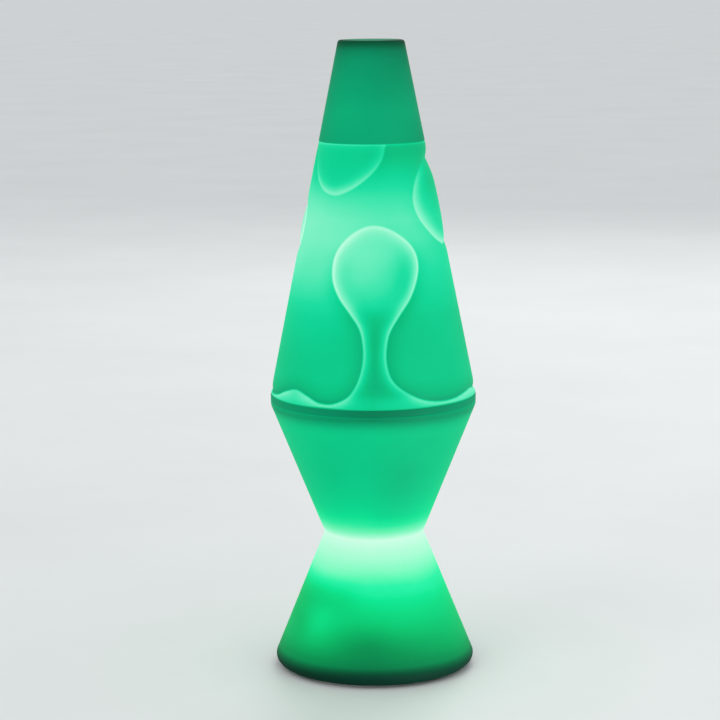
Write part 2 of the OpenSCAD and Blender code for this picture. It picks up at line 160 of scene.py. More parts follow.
# ---------------- mesh helpers
def add_object(name, data):
    """A new object in the scene: a mesh, a light or a camera."""
    obj = bpy.data.objects.new(name, data)
    bpy.context.scene.collection.objects.link(obj)
    return obj


def make_mesh(name, points, faces):
    """A smooth-shaded object from points and faces."""
    mesh = bpy.data.meshes.new(name)
    mesh.from_pydata([tuple(p) for p in points], [], [tuple(f) for f in faces])
    mesh.shade_smooth()
    mesh.update()
    return add_object(name, mesh)


def add_attribute(obj, name, values):
    """Stores one number per vertex for the material to read."""
    attribute = obj.data.attributes.new(name, "FLOAT", "POINT")
    attribute.data.foreach_set("value", np.asarray(values, np.float32))


def lathe(profile, columns=SHELL_COLUMNS):
    """Turns a closed (radius, height) loop into a solid's points, with the row of each, and its faces."""
    rows = len(profile)
    turn = np.arange(columns) * 2 * math.pi / columns
    theta = np.tile(turn, rows)
    radius = np.repeat(np.array([p[0] for p in profile]), columns)
    height = np.repeat(np.array([p[1] for p in profile]), columns)
    row = np.repeat(np.arange(rows), columns)
    return theta, radius, height, row, wrapped_faces(rows, columns)


def wrapped_faces(rows, columns):
    """The four-sided faces of a grid of points that closes on itself both ways."""
    faces = []
    for i in range(rows):
        j = (i + 1) % rows
        for k in range(columns):
            m = (k + 1) % columns
            faces.append((i * columns + k, i * columns + m, j * columns + m, j * columns + k))
    return faces


def close_up(obj, weld=1e-7, axis_only=False):
    """Welds points that meet, drops faces without area and turns the rest outwards."""
    work = bmesh.new()
    work.from_mesh(obj.data)
    points = [v for v in work.verts if v.co.xy.length < weld] if axis_only else work.verts
    bmesh.ops.remove_doubles(work, verts=points, dist=weld)
    bmesh.ops.dissolve_degenerate(work, edges=work.edges, dist=weld / 10)
    bmesh.ops.recalc_face_normals(work, faces=work.faces)
    work.to_mesh(obj.data)
    work.free()


# ---------------- the glow
WAVES = 10        # waves summed in the cloudy field
WAVES_SIZE = 3.2  # brings their sum to between about -1 and 1

TOP_LEVEL = 0.48  # glow of the cap's flat top

# Glow level at heights in mm; GLOW_FULL, further down, is the brightest.
CAP_LEVELS = [(210.8, 0.615), (213, 0.625), (218, 0.635), (223, 0.64), (230, 0.605), (238, 0.57), (243, 0.54),
              (246, 0.49), (247.5, 0.40), (249, 0.26), (249.9, 0.22)]
GLOBE_LEVELS = [(110, 0.70), (115, 0.765), (122, 0.785), (130, 0.785), (137, 0.79), (145, 0.81), (152, 0.865),
                (160, 0.92), (167, 0.955), (175, 0.99), (182, 0.985), (190, 0.93), (200, 0.835), (207, 0.77),
                (209, 0.77), (210.8, 0.80)]
CUP_LEVELS = [(54.4, 1.25), (55.6, 1.14), (58, 1.03), (61, 0.94), (65, 0.87), (70, 0.83), (76, 0.80),
              (84, 0.785), (96, 0.785), (100, 0.79), (103, 0.755), (105, 0.685), (106.5, 0.60), (108, 0.57)]
FOOT_LEVELS = [(0, 0.0), (2.5, 0.0), (3.5, 0.03), (4.5, 0.11), (6, 0.235), (8, 0.455), (11, 0.535),
               (14, 0.59), (17, 0.655), (20, 0.73), (23, 0.80), (26, 0.845), (29, 0.875), (32, 0.90),
               (35, 0.94), (38, 0.965), (41, 1.01), (44, 1.055), (46, 1.085), (48, 1.125), (50, 1.155),
               (52, 1.20), (54.4, 1.25)]
# What the lamp's left gains and its right loses on the globe, what both sides of the foot gain, and what
# the foot's left loses.
GLOBE_LEAN = [(125, 0.0), (145, 0.03), (160, 0.05), (180, 0.06), (195, 0.02), (210, 0.05)]
FOOT_SIDES = [(0, 0.03), (3.5, 0.11), (6, 0.17), (9, 0.11), (14, 0.12), (18, 0.08), (23, 0.0), (27, 0)]
FOOT_LEFT = [(15, 0), (20, 0.05), (26, 0.10), (30, 0.125), (34, 0.10), (38, 0.03), (42, 0)]

# Soft patches, as (level added, degrees, height in mm, degrees wide, mm tall).
GLOBE_PATCHES = [(-0.05, 80, 180, 26, 22), (-0.055, 23, 162, 10, 9), (-0.03, -21, 160, 9, 8)]
CUP_PATCHES = [(-0.035, 18, 79, 20, 14), (-0.03, -32, 80, 18, 13)]
BAY_SHADE = (-0.07, -5, 18, 17, 8)
FOOT_SPOTS = [(0.13, -42, 22.5, 15, 8), (0.06, 150, 24, 24, 11)]


def at_heights(z_mm, table):
    """Values at heights in mm, read off a table of (height, value)."""
    heights, values = zip(*table)
    return np.interp(z_mm, heights, values)


def wave(theta, height, seed):
    """A soft cloudy field between about -1 and 1, smooth all round the lamp."""
    draw = np.random.default_rng(seed)
    out = np.zeros_like(theta)
    for _ in range(WAVES):
        around = draw.integers(1, 5)
        up = draw.uniform(30, 150)
        out += np.cos(around * theta + draw.uniform(0, 2 * math.pi)) * np.sin(
            up * height + draw.uniform(0, 2 * math.pi))
    return out / WAVES_SIZE


def bump_at(theta, z_mm, at_deg, at_mm, wide_deg, tall_mm):
    """A soft round patch at an angle and a height."""
    turn = np.degrees(theta) - at_deg
    turn = (turn + 180) % 360 - 180
    return np.exp(-(turn / wide_deg) ** 2 - ((z_mm - at_mm) / tall_mm) ** 2)


def patches(theta, z_mm, *rows):
    """The sum of several soft patches, each a row of a level and bump_at's own values."""
    return sum(level * bump_at(theta, z_mm, *spot) for level, *spot in rows)


def step(x, low, high):
    """A smooth rise from 0 at low to 1 at high."""
    t = np.clip((x - low) / (high - low), 0, 1)
    return t * t * (3 - 2 * t)


def from_left(theta):
    """1 on the lamp's left as seen from the front, -1 on its right."""
    return -np.sin(theta)


def cap_glow(theta, height, radius):
    """Dims towards the rounded top edge; the flat top glows again, the same all round near its middle."""
    z, out = height / MM, radius / MM
    level = at_heights(z, CAP_LEVELS)
    flat_top = step(z, 249.3, 249.9) * (1 - step(out, 10.3, 12.0))
    level += (TOP_LEVEL - level) * flat_top
    around = 0.02 * from_left(theta) + 0.012 * np.cos(theta) + 0.016 * wave(theta, height, 3)
    return level + (around - 0.05 * np.sin(theta) ** 4) * step(out, 0, 11)


def globe_glow(theta, height):
    """Brightest at two thirds of the globe's height, and brighter on the left."""
    z = height / MM
    level = at_heights(z, GLOBE_LEVELS) + patches(theta, z, *GLOBE_PATCHES)
    return level + at_heights(z, GLOBE_LEAN) * from_left(theta) + 0.014 * wave(theta, height, 5)


def cup_glow(theta, height):
    """Brightest at the waist; its front dims just below the rim band."""
    z = height / MM
    level = at_heights(z, CUP_LEVELS) + patches(theta, z, *CUP_PATCHES)
    level -= 0.045 * step(z, 101, 106) * np.cos(theta / 2) ** 8
    return level + 0.018 * wave(theta, height, 7)


def foot_glow(theta, height):
    """Brightest at the waist; the battery bay shades the lower front, and two small lights show through."""
    z = height / MM
    level = at_heights(z, FOOT_LEVELS) + patches(theta, z, BAY_SHADE, *FOOT_SPOTS)
    level += np.abs(np.sin(theta)) ** 1.5 * at_heights(z, FOOT_SIDES)
    level -= step(from_left(theta), 0.05, 0.8) * at_heights(z, FOOT_LEFT)
    return level + 0.012 * wave(theta, height, 11) * step(z, 3, 12)


# ---------------- materials
def srgb(red, green, blue):
    """Screen colour, 0 to 255, as linear RGBA."""
    def linear(c):
        c /= 255
        return c / 12.92 if c <= 0.04045 else ((c + 0.055) / 1.055) ** 2.4
    return (linear(red), linear(green), linear(blue), 1.0)


def scaled(colour, factor):
    """A colour made darker or lighter."""
    return tuple(factor * c for c in colour[:3]) + (1.0,)


class Nodes:
    """Short calls for building one material's node tree. A value can be a socket or a plain value."""

    def __init__(self, name):
        self.material = bpy.data.materials.new(name)
        self.material.use_nodes = True
        self.tree = self.material.node_tree
        self.shader = self.tree.nodes["Principled BSDF"]

    def give(self, socket, value):
        """Links a socket to an input, or sets a plain value on it."""
        if isinstance(value, bpy.types.NodeSocket):
            self.tree.links.new(value, socket)
        else:
            socket.default_value = value

    def add(self, kind, inputs=None, **settings):
        """A new node; inputs gives values by the input's name or number."""
        node = self.tree.nodes.new(kind)
        for key, value in settings.items():
            setattr(node, key, value)
        for key, value in (inputs or {}).items():
            self.give(node.inputs[key], value)
        return node

    def set(self, **values):
        """Values for the shader's own inputs; an underscore stands for a space."""
        for key, value in values.items():
            self.give(self.shader.inputs[key.replace("_", " ")], value)

    def object_place(self):
        """Each point's place in the object's own axes."""
        return self.add("ShaderNodeTexCoord").outputs["Object"]

    def noise(self, scale, detail=3.0, roughness=0.5):
        """Noise from 0 to 1; scale is its cells in a metre."""
        return self.add("ShaderNodeTexNoise", {"Scale": scale, "Detail": detail, "Roughness": roughness,
                                               "Vector": self.object_place()}).outputs["Fac"]

    def ramp(self, value, stops):
        """A value from 0 to 1 turned into a colour by (position, colour) stops."""
        node = self.add("ShaderNodeValToRGB", {"Fac": value})
        elements = node.color_ramp.elements
        while len(elements) < len(stops):
            elements.new(0.5)
        for element, (position, colour) in zip(elements, stops):
            element.position = position
            element.color = colour
        return node.outputs["Color"]

    def scale_to(self, value, low, high):
        """A 0 to 1 value stretched to low to high."""
        node = self.add("ShaderNodeMapRange", {"Value": value, "To Min": low, "To Max": high})
        return node.outputs["Result"]

    def attribute(self, name):
        """One of the mesh's own numbers."""
        return self.add("ShaderNodeAttribute", attribute_name=name).outputs["Fac"]

    def math(self, operation, a, b):
        """One operation on two values."""
        return self.add("ShaderNodeMath", {0: a, 1: b}, operation=operation).outputs[0]

    def mix(self, amount, a, b, blend="MIX"):
        """Blends two colours."""
        node = self.add("ShaderNodeMix", {0: amount, 6: a, 7: b}, data_type="RGBA", blend_type=blend)
        return node.outputs[2]

    def bump(self, height, strength, distance, edge=0.0):
        """Fine relief for the light, over edges rounded by a radius of edge."""
        node = self.add("ShaderNodeBump", {"Height": height, "Strength": strength, "Distance": distance})
        if edge:
            self.give(node.inputs["Normal"],
                      self.add("ShaderNodeBevel", {"Radius": edge}, samples=6).outputs["Normal"])
        self.set(Normal=node.outputs["Normal"])


SHELL_SHADED_BASE = (0.001, 0.022, 0.013, 1.0)  # the plastic's colour darkened into painted shade, so that the studio light hardly shows on the shells
GLOW_FULL = 1.25       # the brightest level
GLOW_STRENGTH = 0.96   # leaves room for the studio light on top
GLOW_GRAIN = 0.014     # how far the cloud and the grain shift the level
# Screen colours of the glow, by level.
TEAL_GLOW = [(0.0, (0, 0, 0)), (0.15, (1, 38, 22)), (0.35, (1, 90, 54)), (0.50, (1, 127, 86)),
             (0.65, (1, 166, 113)), (0.75, (1, 192, 126)), (0.83, (3, 212, 148)), (0.88, (24, 222, 160)),
             (0.93, (66, 231, 175)), (1.00, (112, 240, 192)), (1.06, (136, 244, 200)),
             (1.14, (170, 252, 216)), (1.25, (205, 255, 232))]
GREEN_GLOW = [(0.0, (0, 0, 0)), (0.16, (1, 40, 22)), (0.26, (1, 66, 36)), (0.39, (1, 100, 55)),
              (0.57, (1, 145, 77)), (0.68, (1, 174, 93)), (0.76, (1, 194, 106)), (0.84, (1, 212, 122)),
              (0.88, (2, 222, 132)), (0.92, (4, 234, 148)), (0.97, (40, 245, 168)), (1.01, (92, 250, 180)),
              (1.06, (138, 253, 198)), (1.12, (168, 254, 212)), (1.25, (206, 255, 230))]
CUP_GLOW = [(0.0, (0, 0, 0)), (0.16, (1, 40, 22)), (0.39, (1, 100, 62)), (0.57, (1, 145, 96)),
            (0.68, (1, 172, 114)), (0.78, (1, 199, 132)), (0.84, (1, 212, 139)), (0.88, (3, 224, 145)),
            (0.93, (36, 234, 158)), (1.00, (98, 243, 176)), (1.08, (150, 250, 202)), (1.16, (196, 255, 224)),
            (1.25, (212, 255, 234))]


def glow_plastic(name, glow_stops, with_edges=False):
    """Milky moulded plastic, lit from behind: the glow level of each point picks its colour."""
    n = Nodes(name)
    level = n.attribute("glow")
    if with_edges:
        level = n.math("ADD", level, edge_light(n))
    cloud, grain = n.noise(90.0, 4.0, 0.6), n.noise(2600.0, 2.0, 0.7)
    for unevenness in (cloud, grain):
        level = n.math("ADD", level, n.scale_to(unevenness, -GLOW_GRAIN, GLOW_GRAIN))
    colour = n.ramp(n.math("DIVIDE", level, GLOW_FULL),
                    [(at / GLOW_FULL, srgb(*rgb)) for at, rgb in glow_stops])
    # The dark base colour is painted shade, so that the studio light hardly shows on the glowing plastic.
    n.set(Emission_Color=colour, Emission_Strength=GLOW_STRENGTH, IOR=1.46, Specular_IOR_Level=0.06,
          Base_Color=n.ramp(n.noise(900.0, 3.0, 0.6),
                            [(0.3, SHELL_SHADED_BASE), (0.7, scaled(SHELL_SHADED_BASE, 1.25))]),
          Roughness=n.scale_to(n.noise(260.0, 4.0, 0.6), 0.55, 0.72))
    n.bump(n.noise(3200.0, 2.0, 0.5), 0.10, 0.00005)
    return n.material


EDGE_SPAN = 8.0  # reach in mm of the light and shade round a wax edge
# Strength of each by distance in mm from the edge, positive on the wax.
EDGE_BRIGHT = [(-0.45, 0.0), (-0.05, 0.55), (0.35, 1.0), (0.8, 0.9), (1.5, 0.62), (2.4, 0.4), (3.6, 0.18),
               (5.2, 0.05), (7.5, 0.0)]
EDGE_SHADE = [(-7.5, 0.0), (-4.5, 0.18), (-2.4, 0.5), (-1.0, 0.85), (-0.45, 1.0), (0.0, 0.35), (0.3, 0.0)]


def edge_light(n):
    """The bright line just inside each wax edge, less the soft shade outside it."""
    span = n.add("ShaderNodeMapRange", {"Value": n.attribute("edge"), "From Min": -EDGE_SPAN,
                                        "From Max": EDGE_SPAN})

    def strength(points, attribute):
        """A curve by distance from the edge, times one of the mesh's numbers."""
        stops = [((mm + EDGE_SPAN) / (2 * EDGE_SPAN), (v, v, v, 1.0)) for mm, v in points]
        return n.math("MULTIPLY", n.ramp(span.outputs["Result"], stops), n.attribute(attribute))

    return n.math("SUBTRACT", strength(EDGE_BRIGHT, "line"), strength(EDGE_SHADE, "halo"))


def moulded(name, colour, rough, grain, grain_mm, shade=0.75, metal=None, band=None, edge_mm=0, **extra):
    """Fine-grained material with slight colour and gloss variation.

    metal is the colour of the bare-metal areas, which the mesh's "metal" attribute marks; band likewise.
    edge_mm is the radius that the light sees on sharp edges.
    """
    n = Nodes(name)
    base = srgb(*colour)
    tint = n.ramp(n.noise(140.0, 6.0, 0.65), [(0.32, scaled(base, shade)), (0.62, base)])
    if band:
        tint = n.mix(n.attribute("band"), tint, srgb(*band))
    if metal:
        where = n.attribute("metal")
        tint = n.mix(where, tint, srgb(*metal))
        n.set(Metallic=where)
    n.set(Base_Color=tint, Roughness=n.scale_to(n.noise(420.0, 4.0, 0.6), *rough), **extra)
    n.bump(n.noise(grain, 3.0, 0.6), 0.35, grain_mm * MM, edge_mm * MM)
    return n.material


def circuit_board(name, mask, trace):
    """Solder mask over a faint maze of copper tracks."""
    n = Nodes(name)
    maze = n.add("ShaderNodeTexBrick", {"Vector": n.object_place(), "Scale": 130.0, "Mortar Size": 0.035,
                                        "Color1": srgb(*mask), "Color2": scaled(srgb(*mask), 0.92),
                                        "Mortar": srgb(*trace)})
    blotch = n.ramp(n.noise(160.0, 5.0, 0.6), [(0.3, (0.86, 0.86, 0.86, 1)), (0.65, (1, 1, 1, 1))])
    n.set(Base_Color=n.mix(1.0, maze.outputs["Color"], blotch, "MULTIPLY"),
          Roughness=n.scale_to(n.noise(500.0), 0.24, 0.42))
    n.bump(maze.outputs["Fac"], 0.2, 0.00003)
    return n.material


def lit_resin(name):
    """Clear resin of a lit LED: bright in the middle of the dome, deeper green towards its collar."""
    n = Nodes(name)
    level = n.math("ADD", n.attribute("glow"), n.scale_to(n.noise(400.0), -0.05, 0.05))
    glow = [(0.0, srgb(60, 200, 130)), (0.5, srgb(120, 245, 185)), (1.0, srgb(215, 255, 235))]
    resin = [(0.3, srgb(70, 120, 95)), (0.7, srgb(90, 140, 112))]
    n.set(Emission_Color=n.ramp(level, glow), Emission_Strength=1.0,
          Base_Color=n.ramp(n.noise(300.0), resin),
          Roughness=n.scale_to(n.noise(500.0), 0.06, 0.14))
    n.bump(n.noise(700.0, 2.0, 0.5), 0.1, 0.00002)
    return n.material


BARE_TIN = (196, 196, 190)
WIRES = {"red": (168, 24, 20), "black": (24, 24, 25), "yellow": (214, 164, 30), "blue": (36, 74, 172),
         "white": (222, 222, 214)}
# Colour, range of roughness, grains in a metre, their depth in mm, and the rest as moulded() names it.
MOULDED = {
    "chassis_plastic": ((222, 228, 222), (0.36, 0.52), 2200, 0.08, dict(shade=0.93, edge_mm=0.14)),
    "foot_rubber": ((46, 46, 47), (0.62, 0.82), 1500, 0.12, dict(edge_mm=0.3)),
    "screw_steel": ((170, 172, 176), (0.22, 0.42), 3000, 0.03, dict(Metallic=1.0)),
    "spring_steel": ((198, 198, 196), (0.18, 0.34), 3000, 0.02, dict(Metallic=1.0)),
    "cell_jacket": ((38, 44, 54), (0.2, 0.36), 900, 0.03, dict(metal=(188, 188, 184), band=(176, 112, 58))),
    "package_white": ((232, 238, 232), (0.3, 0.45), 2000, 0.03, dict(shade=0.92)),
    "lead_tin": ((190, 190, 186), (0.3, 0.5), 3000, 0.03, dict(Metallic=1.0)),
    "chip_black": ((26, 26, 27), (0.4, 0.55), 4000, 0.04, dict(metal=BARE_TIN)),
    "part_ceramic": ((60, 57, 55), (0.35, 0.5), 3000, 0.03, dict(metal=BARE_TIN)),
    "capacitor_sleeve": ((46, 56, 84), (0.2, 0.35), 1500, 0.03,
                         dict(metal=(190, 190, 188), band=(150, 158, 176))),
    "switch_metal": ((176, 177, 172), (0.25, 0.45), 2500, 0.04, dict(Metallic=1.0)),
    "switch_black": ((30, 30, 31), (0.4, 0.6), 2200, 0.08, {}),
    "control_grey": ((96, 101, 100), (0.42, 0.58), 2200, 0.08, dict(edge_mm=0.15)),
}
MOULDED |= {"wire_" + name: (colour, (0.35, 0.5), 1800, 0.04, {}) for name, colour in WIRES.items()}

MATERIALS = {name: moulded(name, *looks, **rest) for name, (*looks, rest) in MOULDED.items()}
MATERIALS |= {
    "cap_shell": glow_plastic("cap_glow", TEAL_GLOW),
    "globe_shell": glow_plastic("globe_glow", TEAL_GLOW, with_edges=True),
    "base_shell": glow_plastic("foot_glow", GREEN_GLOW),
    "cup_shell": glow_plastic("cup_glow", CUP_GLOW),
    "board_white": circuit_board("board_white", (228, 230, 226), (205, 210, 204)),
    "board_green": circuit_board("board_green", (22, 92, 52), (40, 122, 70)),
    "light_resin": lit_resin("light_resin"),
}


# ---------------- handing pieces over
SLOTS = {row["node"]: row["material_slot"] for row in frame["record"]["subparts"]}
OWN_MATERIALS = {"base_cup": "cup_shell"}  # differs from the foot, whose slot it shares
BODIES = {"battery_door": "battery_door", "power_slider": "power_slider", "switch_lever": "power_slider",
          "color_button": "color_button", "tact_plunger": "color_button"}


def finish_piece(obj, node):
    """Gives a new piece its material, and puts it in its CAD node's place."""
    obj.data.materials.clear()
    obj.data.materials.append(MATERIALS[OWN_MATERIALS.get(node, SLOTS[node])])
    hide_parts(node)
    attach(obj, BODIES.get(node, "lamp"))


def finish_shell(node, theta, radius, height, faces, **attributes):
    """A shell from cylinder coordinates, in its CAD node's place."""
    points = np.stack([radius * np.sin(theta), -radius * np.cos(theta), height], -1)
    obj = make_mesh(node + "_shell", points, faces)
    for key, values in attributes.items():
        add_attribute(obj, key, values)
    close_up(obj, weld=1e-6, axis_only=True)
    finish_piece(obj, node)


# ---------------- globe with its wax relief
# Edge of the wax pool and of the column that rises from it, as (degrees from the front, height in mm).
LEFT_CREST = [(-70, 112.6), (-60, 114.9), (-50, 116.4), (-41, 114.8), (-32, 112.7), (-23, 112.8)]
COLUMN = [(-14.6, 115.6), (-9.4, 120.8), (-6.5, 127.5), (-6.2, 134), (-8.7, 141), (-15.6, 146.9),
          (-24.4, 153), (-30.3, 159.4), (-31.2, 166), (-27.4, 171.4), (-18, 176.4), (-6.5, 179.5), (4, 180),
          (15, 178.5), (26.5, 175), (34.5, 170.6), (37, 165.4), (34.4, 159.6), (27.4, 152.5), (18.4, 146.2),
          (11.2, 140), (8.5, 134), (8.3, 128), (10.8, 122.4), (17.2, 118)]
RIGHT_CREST = [(29, 113.9), (42, 112.5), (54, 112.7), (66, 113.7), (76, 114.1), (87, 113), (100, 112.6),
               (116, 113.4), (134, 114.6), (152, 113.8), (168, 113.6)]
BACK_TURN, BACK_REACH, BACK_WIDTH = 186.0, 0.84, 0.8  # degrees round, and its height and width to the front's
BACK_CREST = [(209, 113.7), (220, 113.4), (234, 115.2), (246, 116.2), (258, 114.2), (269, 112.2),
              (279, 111.8)]


def back_column():
    """The rising wax on the back: the front column, lower and slimmer."""
    low = RIM_Z / MM
    return [(BACK_TURN + a * BACK_WIDTH, low + (z - low) * BACK_REACH) for a, z in COLUMN]


POOL_EDGE = LEFT_CREST + COLUMN + RIGHT_CREST + back_column() + BACK_CREST

# Closed wax shapes, as (degrees, height in mm) round each one.
HANGING_LEFT = [(14.5, 214), (14, 209), (10.5, 205), (2, 200.5), (-9, 196.7), (-21, 193.5), (-35, 191.4),
                (-49, 192.3), (-61, 195.3), (-71, 199.4), (-80, 204.6), (-88, 212), (-90, 218), (-40, 222),
                (-8, 220)]
RIGHT_OVAL = [(70, 203.8), (56, 200.6), (45.5, 195.5), (40.5, 189), (44, 182.8), (53, 177.6), (66, 173),
              (82, 170.8), (98, 172.9), (112, 179), (117, 187), (112, 195.4), (100, 201.8), (85, 204.7)]
LEFT_OVAL = [(-89, 169.8), (-82.5, 173.2), (-80.5, 178.5), (-82, 183.4), (-88, 185.8), (-98, 187.2),
             (-112, 188.8), (-127, 188), (-139, 184), (-143.5, 177.5), (-134, 171), (-112, 168)]
HANGING_BACK = [(132, 216), (136, 209), (146, 203), (160, 199.4), (174, 199.6), (186, 204), (192, 210),
                (194, 216), (164, 222)]
BACK_DROP = [(131, 160), (121, 156.4), (117, 150), (121, 143.4), (131, 140), (141, 143.4), (145, 150),
             (141, 156.4)]
BLOBS = [HANGING_LEFT, RIGHT_OVAL, LEFT_OVAL, HANGING_BACK, BACK_DROP]


def distance_to(corners, theta, height, turn):
    """Signed distance in mm from each grid point to the loop through corners: positive inside it.

    A point is inside a closed shape when its upright line down to the rim crosses the loop an odd number
    of times, and inside the pool, whose loop runs right round the lamp, when the number is even.
    """
    angle = np.degrees(theta) + 0.00037  # keeps grid columns off the loop's own points
    radius = globe_r(height) / MM
    z = height / MM
    slant = math.hypot(1, (RIM_R - SEAM_R) / (SEAM_Z - RIM_Z))
    best = np.full(theta.shape, np.inf)
    crossings = np.zeros(theta.shape, int)
    loop = smooth_loop(corners, turn)
    count = len(loop)
    for i in range(count):
        a = loop[i]
        b = loop[(i + 1) % count] + (np.array([turn, 0.0]) if i == count - 1 else 0)
        away = (a[0] - angle + 180) % 360 - 180
        ax = np.radians(away) * radius
        ay = (a[1] - z) * slant
        dx = np.radians(b[0] - a[0]) * radius
        dy = (b[1] - a[1]) * slant
        t = np.clip(-(ax * dx + ay * dy) / (dx * dx + dy * dy + 1e-12), 0, 1)
        best = np.minimum(best, (ax + t * dx) ** 2 + (ay + t * dy) ** 2)
        spans = (away > 0) != (away + b[0] - a[0] > 0)
        if b[0] != a[0]:
            crosses_at = a[1] + (b[1] - a[1]) * (-away) / (b[0] - a[0])
            crossings += (spans & (crosses_at < z)).astype(int)
    odd = crossings % 2 == 1
    inside = ~odd if turn else odd
    return np.where(inside, 1, -1) * np.sqrt(best)


GROOVE = 0.95        # depth of the groove round each wax shape, mm
GROOVE_RISE = 0.9    # distance inside the edge in which the groove mostly rises, mm
GROOVE_ROLL = 1.5    # distance outside the edge in which it does, mm
QUICK_PART = 0.62    # share of the groove's depth that rises quickly inside the edge
CROWN = 0.62         # how far a wide shape's middle stands proud, mm
SWELL = 14.0         # distance from the edge at which it stands that far out, mm
OVAL_DIP = 0.7       # how far the right oval sinks in at its top, mm
SNAP_STEP = 0.02     # distance over which the slope of the distance to an edge is measured, mm

RIM_ROUND = 0.55 * MM
GLOBE_SPIGOT_R = 37.9 * MM
GLOBE_NECK_R = 17.7 * MM

# Strength of the bright line and of the shade along the wax edges, and what the wax's middle adds to the
# glow, at heights in mm.
LINE_LEVELS = [(112, 0.14), (117, 0.16), (125, 0.17), (145, 0.23), (155, 0.26), (166, 0.25), (180, 0.16),
               (187, 0.15), (192, 0.12), (210, 0.11)]
HALO_LEVELS = [(112, 0.10), (125, 0.085), (145, 0.075), (160, 0.035), (175, 0.01), (210, 0.02)]
MIDDLE_LEVELS = [(112, 0.02), (120, -0.11), (135, -0.12), (144, -0.05), (150, 0.03), (157, 0.03),
                 (170, 0.02), (180, -0.02), (195, -0.07), (210, 0.04)]
# Places where the bright line fades, as patches() takes them.
LINE_FADES = [(-0.85, 72, 206, 22, 7), (-0.75, -82, 207, 14, 7)]


def relief_height(inside_mm):
    """Height in mm of the surface over the plain cone, by signed distance from a wax edge."""
    s = np.maximum(inside_mm, 0)
    quick = QUICK_PART * GROOVE * (1 - np.exp(-s / GROOVE_RISE))
    slow = ((1 - QUICK_PART) * GROOVE + CROWN) * (1 - (1 - np.minimum(s, SWELL) / SWELL) ** 2)
    out = np.maximum(-inside_mm, 0)
    roll = -GROOVE * np.exp(-(out / GROOVE_ROLL) ** 1.3)
    return np.where(inside_mm > 0, -GROOVE + quick + slow, roll)


def globe_profile():
    """The globe's section in three runs: the upright rim, the skin, and the neck, inside and spigot."""
    skin_low, skin_top = RIM_Z + RIM_ROUND, SEAM_Z - 0.25 * MM
    heights = skin_low + (skin_top - RIM_Z - RIM_ROUND) * np.linspace(0, 1, GLOBE_ROWS)
    skin = [on(globe_r, z) for z in heights]
    rim = near(RIM_R, JOINT_Z, (-0.25, 0.02), (0, 0.3), (0, 1.0)) + [(RIM_R, RIM_Z - RIM_ROUND)]
    rim += arc((RIM_R - RIM_ROUND, RIM_Z - RIM_ROUND), RIM_ROUND, 12, 66, 4)

    top, shoulder_z = globe_high.z, SEAM_Z - WALL
    neck_bore = GLOBE_NECK_R - THIN_WALL
    neck = near(SEAM_R, SEAM_Z, (-0.35, -0.02)) + near(GLOBE_NECK_R, SEAM_Z, (0.2, 0), (0, 0.3))
    neck += near(GLOBE_NECK_R, top, (0, -0.4), (-0.4, 0)) + near(neck_bore, top, (0.3, 0), (0, -0.3))
    neck += [(neck_bore, shoulder_z)]

    inner_low = on(globe_r, RIM_Z + 3 * MM, WALL)
    inside = straight(on(globe_r, shoulder_z, WALL), inner_low, 6) + [inner_low]
    low, spigot_bore = globe_low.z, GLOBE_SPIGOT_R - THIN_WALL
    spigot = [(spigot_bore, RIM_Z)] + near(spigot_bore, low, (0, 0.3), (0.3, 0))
    spigot += near(GLOBE_SPIGOT_R, low, (-0.4, 0), (0, 0.4)) + near(GLOBE_SPIGOT_R, JOINT_Z, (0, -0.02))
    return rim, skin, neck + inside + spigot


def skin_relief(theta, z_mm, edge):
    """How far the globe's skin stands out from the plain cone, in mm, fading out at the rim and the seam."""
    above_rim = step(z_mm, RIM_Z / MM + 0.2, RIM_Z / MM + 1.7)
    below_seam = 0.45 + 0.55 * step(SEAM_Z / MM - z_mm, 0.0, 2.2)
    return relief_height(edge) * above_rim * below_seam - OVAL_DIP * bump_at(theta, z_mm, 92, 203.2, 24, 4)


def wax_glow(theta, z_mm, edge):
    """What the wax shapes, the pool and the edge of the rim add to the skin's glow."""
    middle = (1 - np.exp(-np.maximum(edge, 0) / 4.5)) * at_heights(z_mm, MIDDLE_LEVELS)
    pool = step(edge, -0.3, 0.6) * (1 - step(z_mm, 113.0, 117.5))
    pool *= 0.04 + 0.12 * np.abs(np.sin(theta)) ** 0.7
    return middle + pool - 0.03 * (1 - step(z_mm, RIM_Z / MM, RIM_Z / MM + 0.7))


def build_globe():
    """One moulding: the rim, the skin with its wax relief, the neck under the cap and the spigot."""
    rim, skin, rest = globe_profile()
    theta, radius, height, row, faces = lathe(rim + skin + rest, GLOBE_COLUMNS)
    skin_end = len(rim) + len(skin)
    on_skin = (row >= len(rim)) & (row < skin_end)
    t, z = theta[on_skin], height[on_skin]
    edge, on_edge = snap_to_edges(t, z, (skin[1][1] - skin[0][1]) / MM)
    theta[on_skin], height[on_skin] = t, z
    z_mm = z / MM
    radius[on_skin] = np.minimum(globe_r(z) + skin_relief(t, z_mm, edge) * MM, RIM_R - 0.05 * MM)
    crease = np.zeros(theta.shape, bool)
    crease[on_skin] = on_edge

    glow = globe_glow(theta, height)
    glow[on_skin] += wax_glow(t, z_mm, edge)
    side = row < len(rim) - 1
    glow[side] = 0.46 + 0.13 * np.abs(np.sin(theta[side])) + 0.012 * wave(theta[side], height[side], 9)
    glow[(row >= skin_end - 1) & (row < skin_end + 2)] += 0.06

    far, line, halo = (np.full(theta.shape, value) for value in (-20.0, 0.0, 0.0))
    far[on_skin] = edge
    line[on_skin] = at_heights(z_mm, LINE_LEVELS) * (1 + patches(t, z_mm, *LINE_FADES))
    halo[on_skin] = at_heights(z_mm, HALO_LEVELS)
    finish_shell("globe", theta, radius, height, split_along(faces, crease), glow=glow, edge=far, line=line,
                 halo=halo)


def wax_distance(theta, height):
    """Signed distance in mm to the nearest wax edge: positive on the wax."""
    closest = distance_to(POOL_EDGE, theta, height, 360.0)
    for blob in BLOBS:
        closest = np.maximum(closest, distance_to(blob, theta, height, 0.0))
    return closest


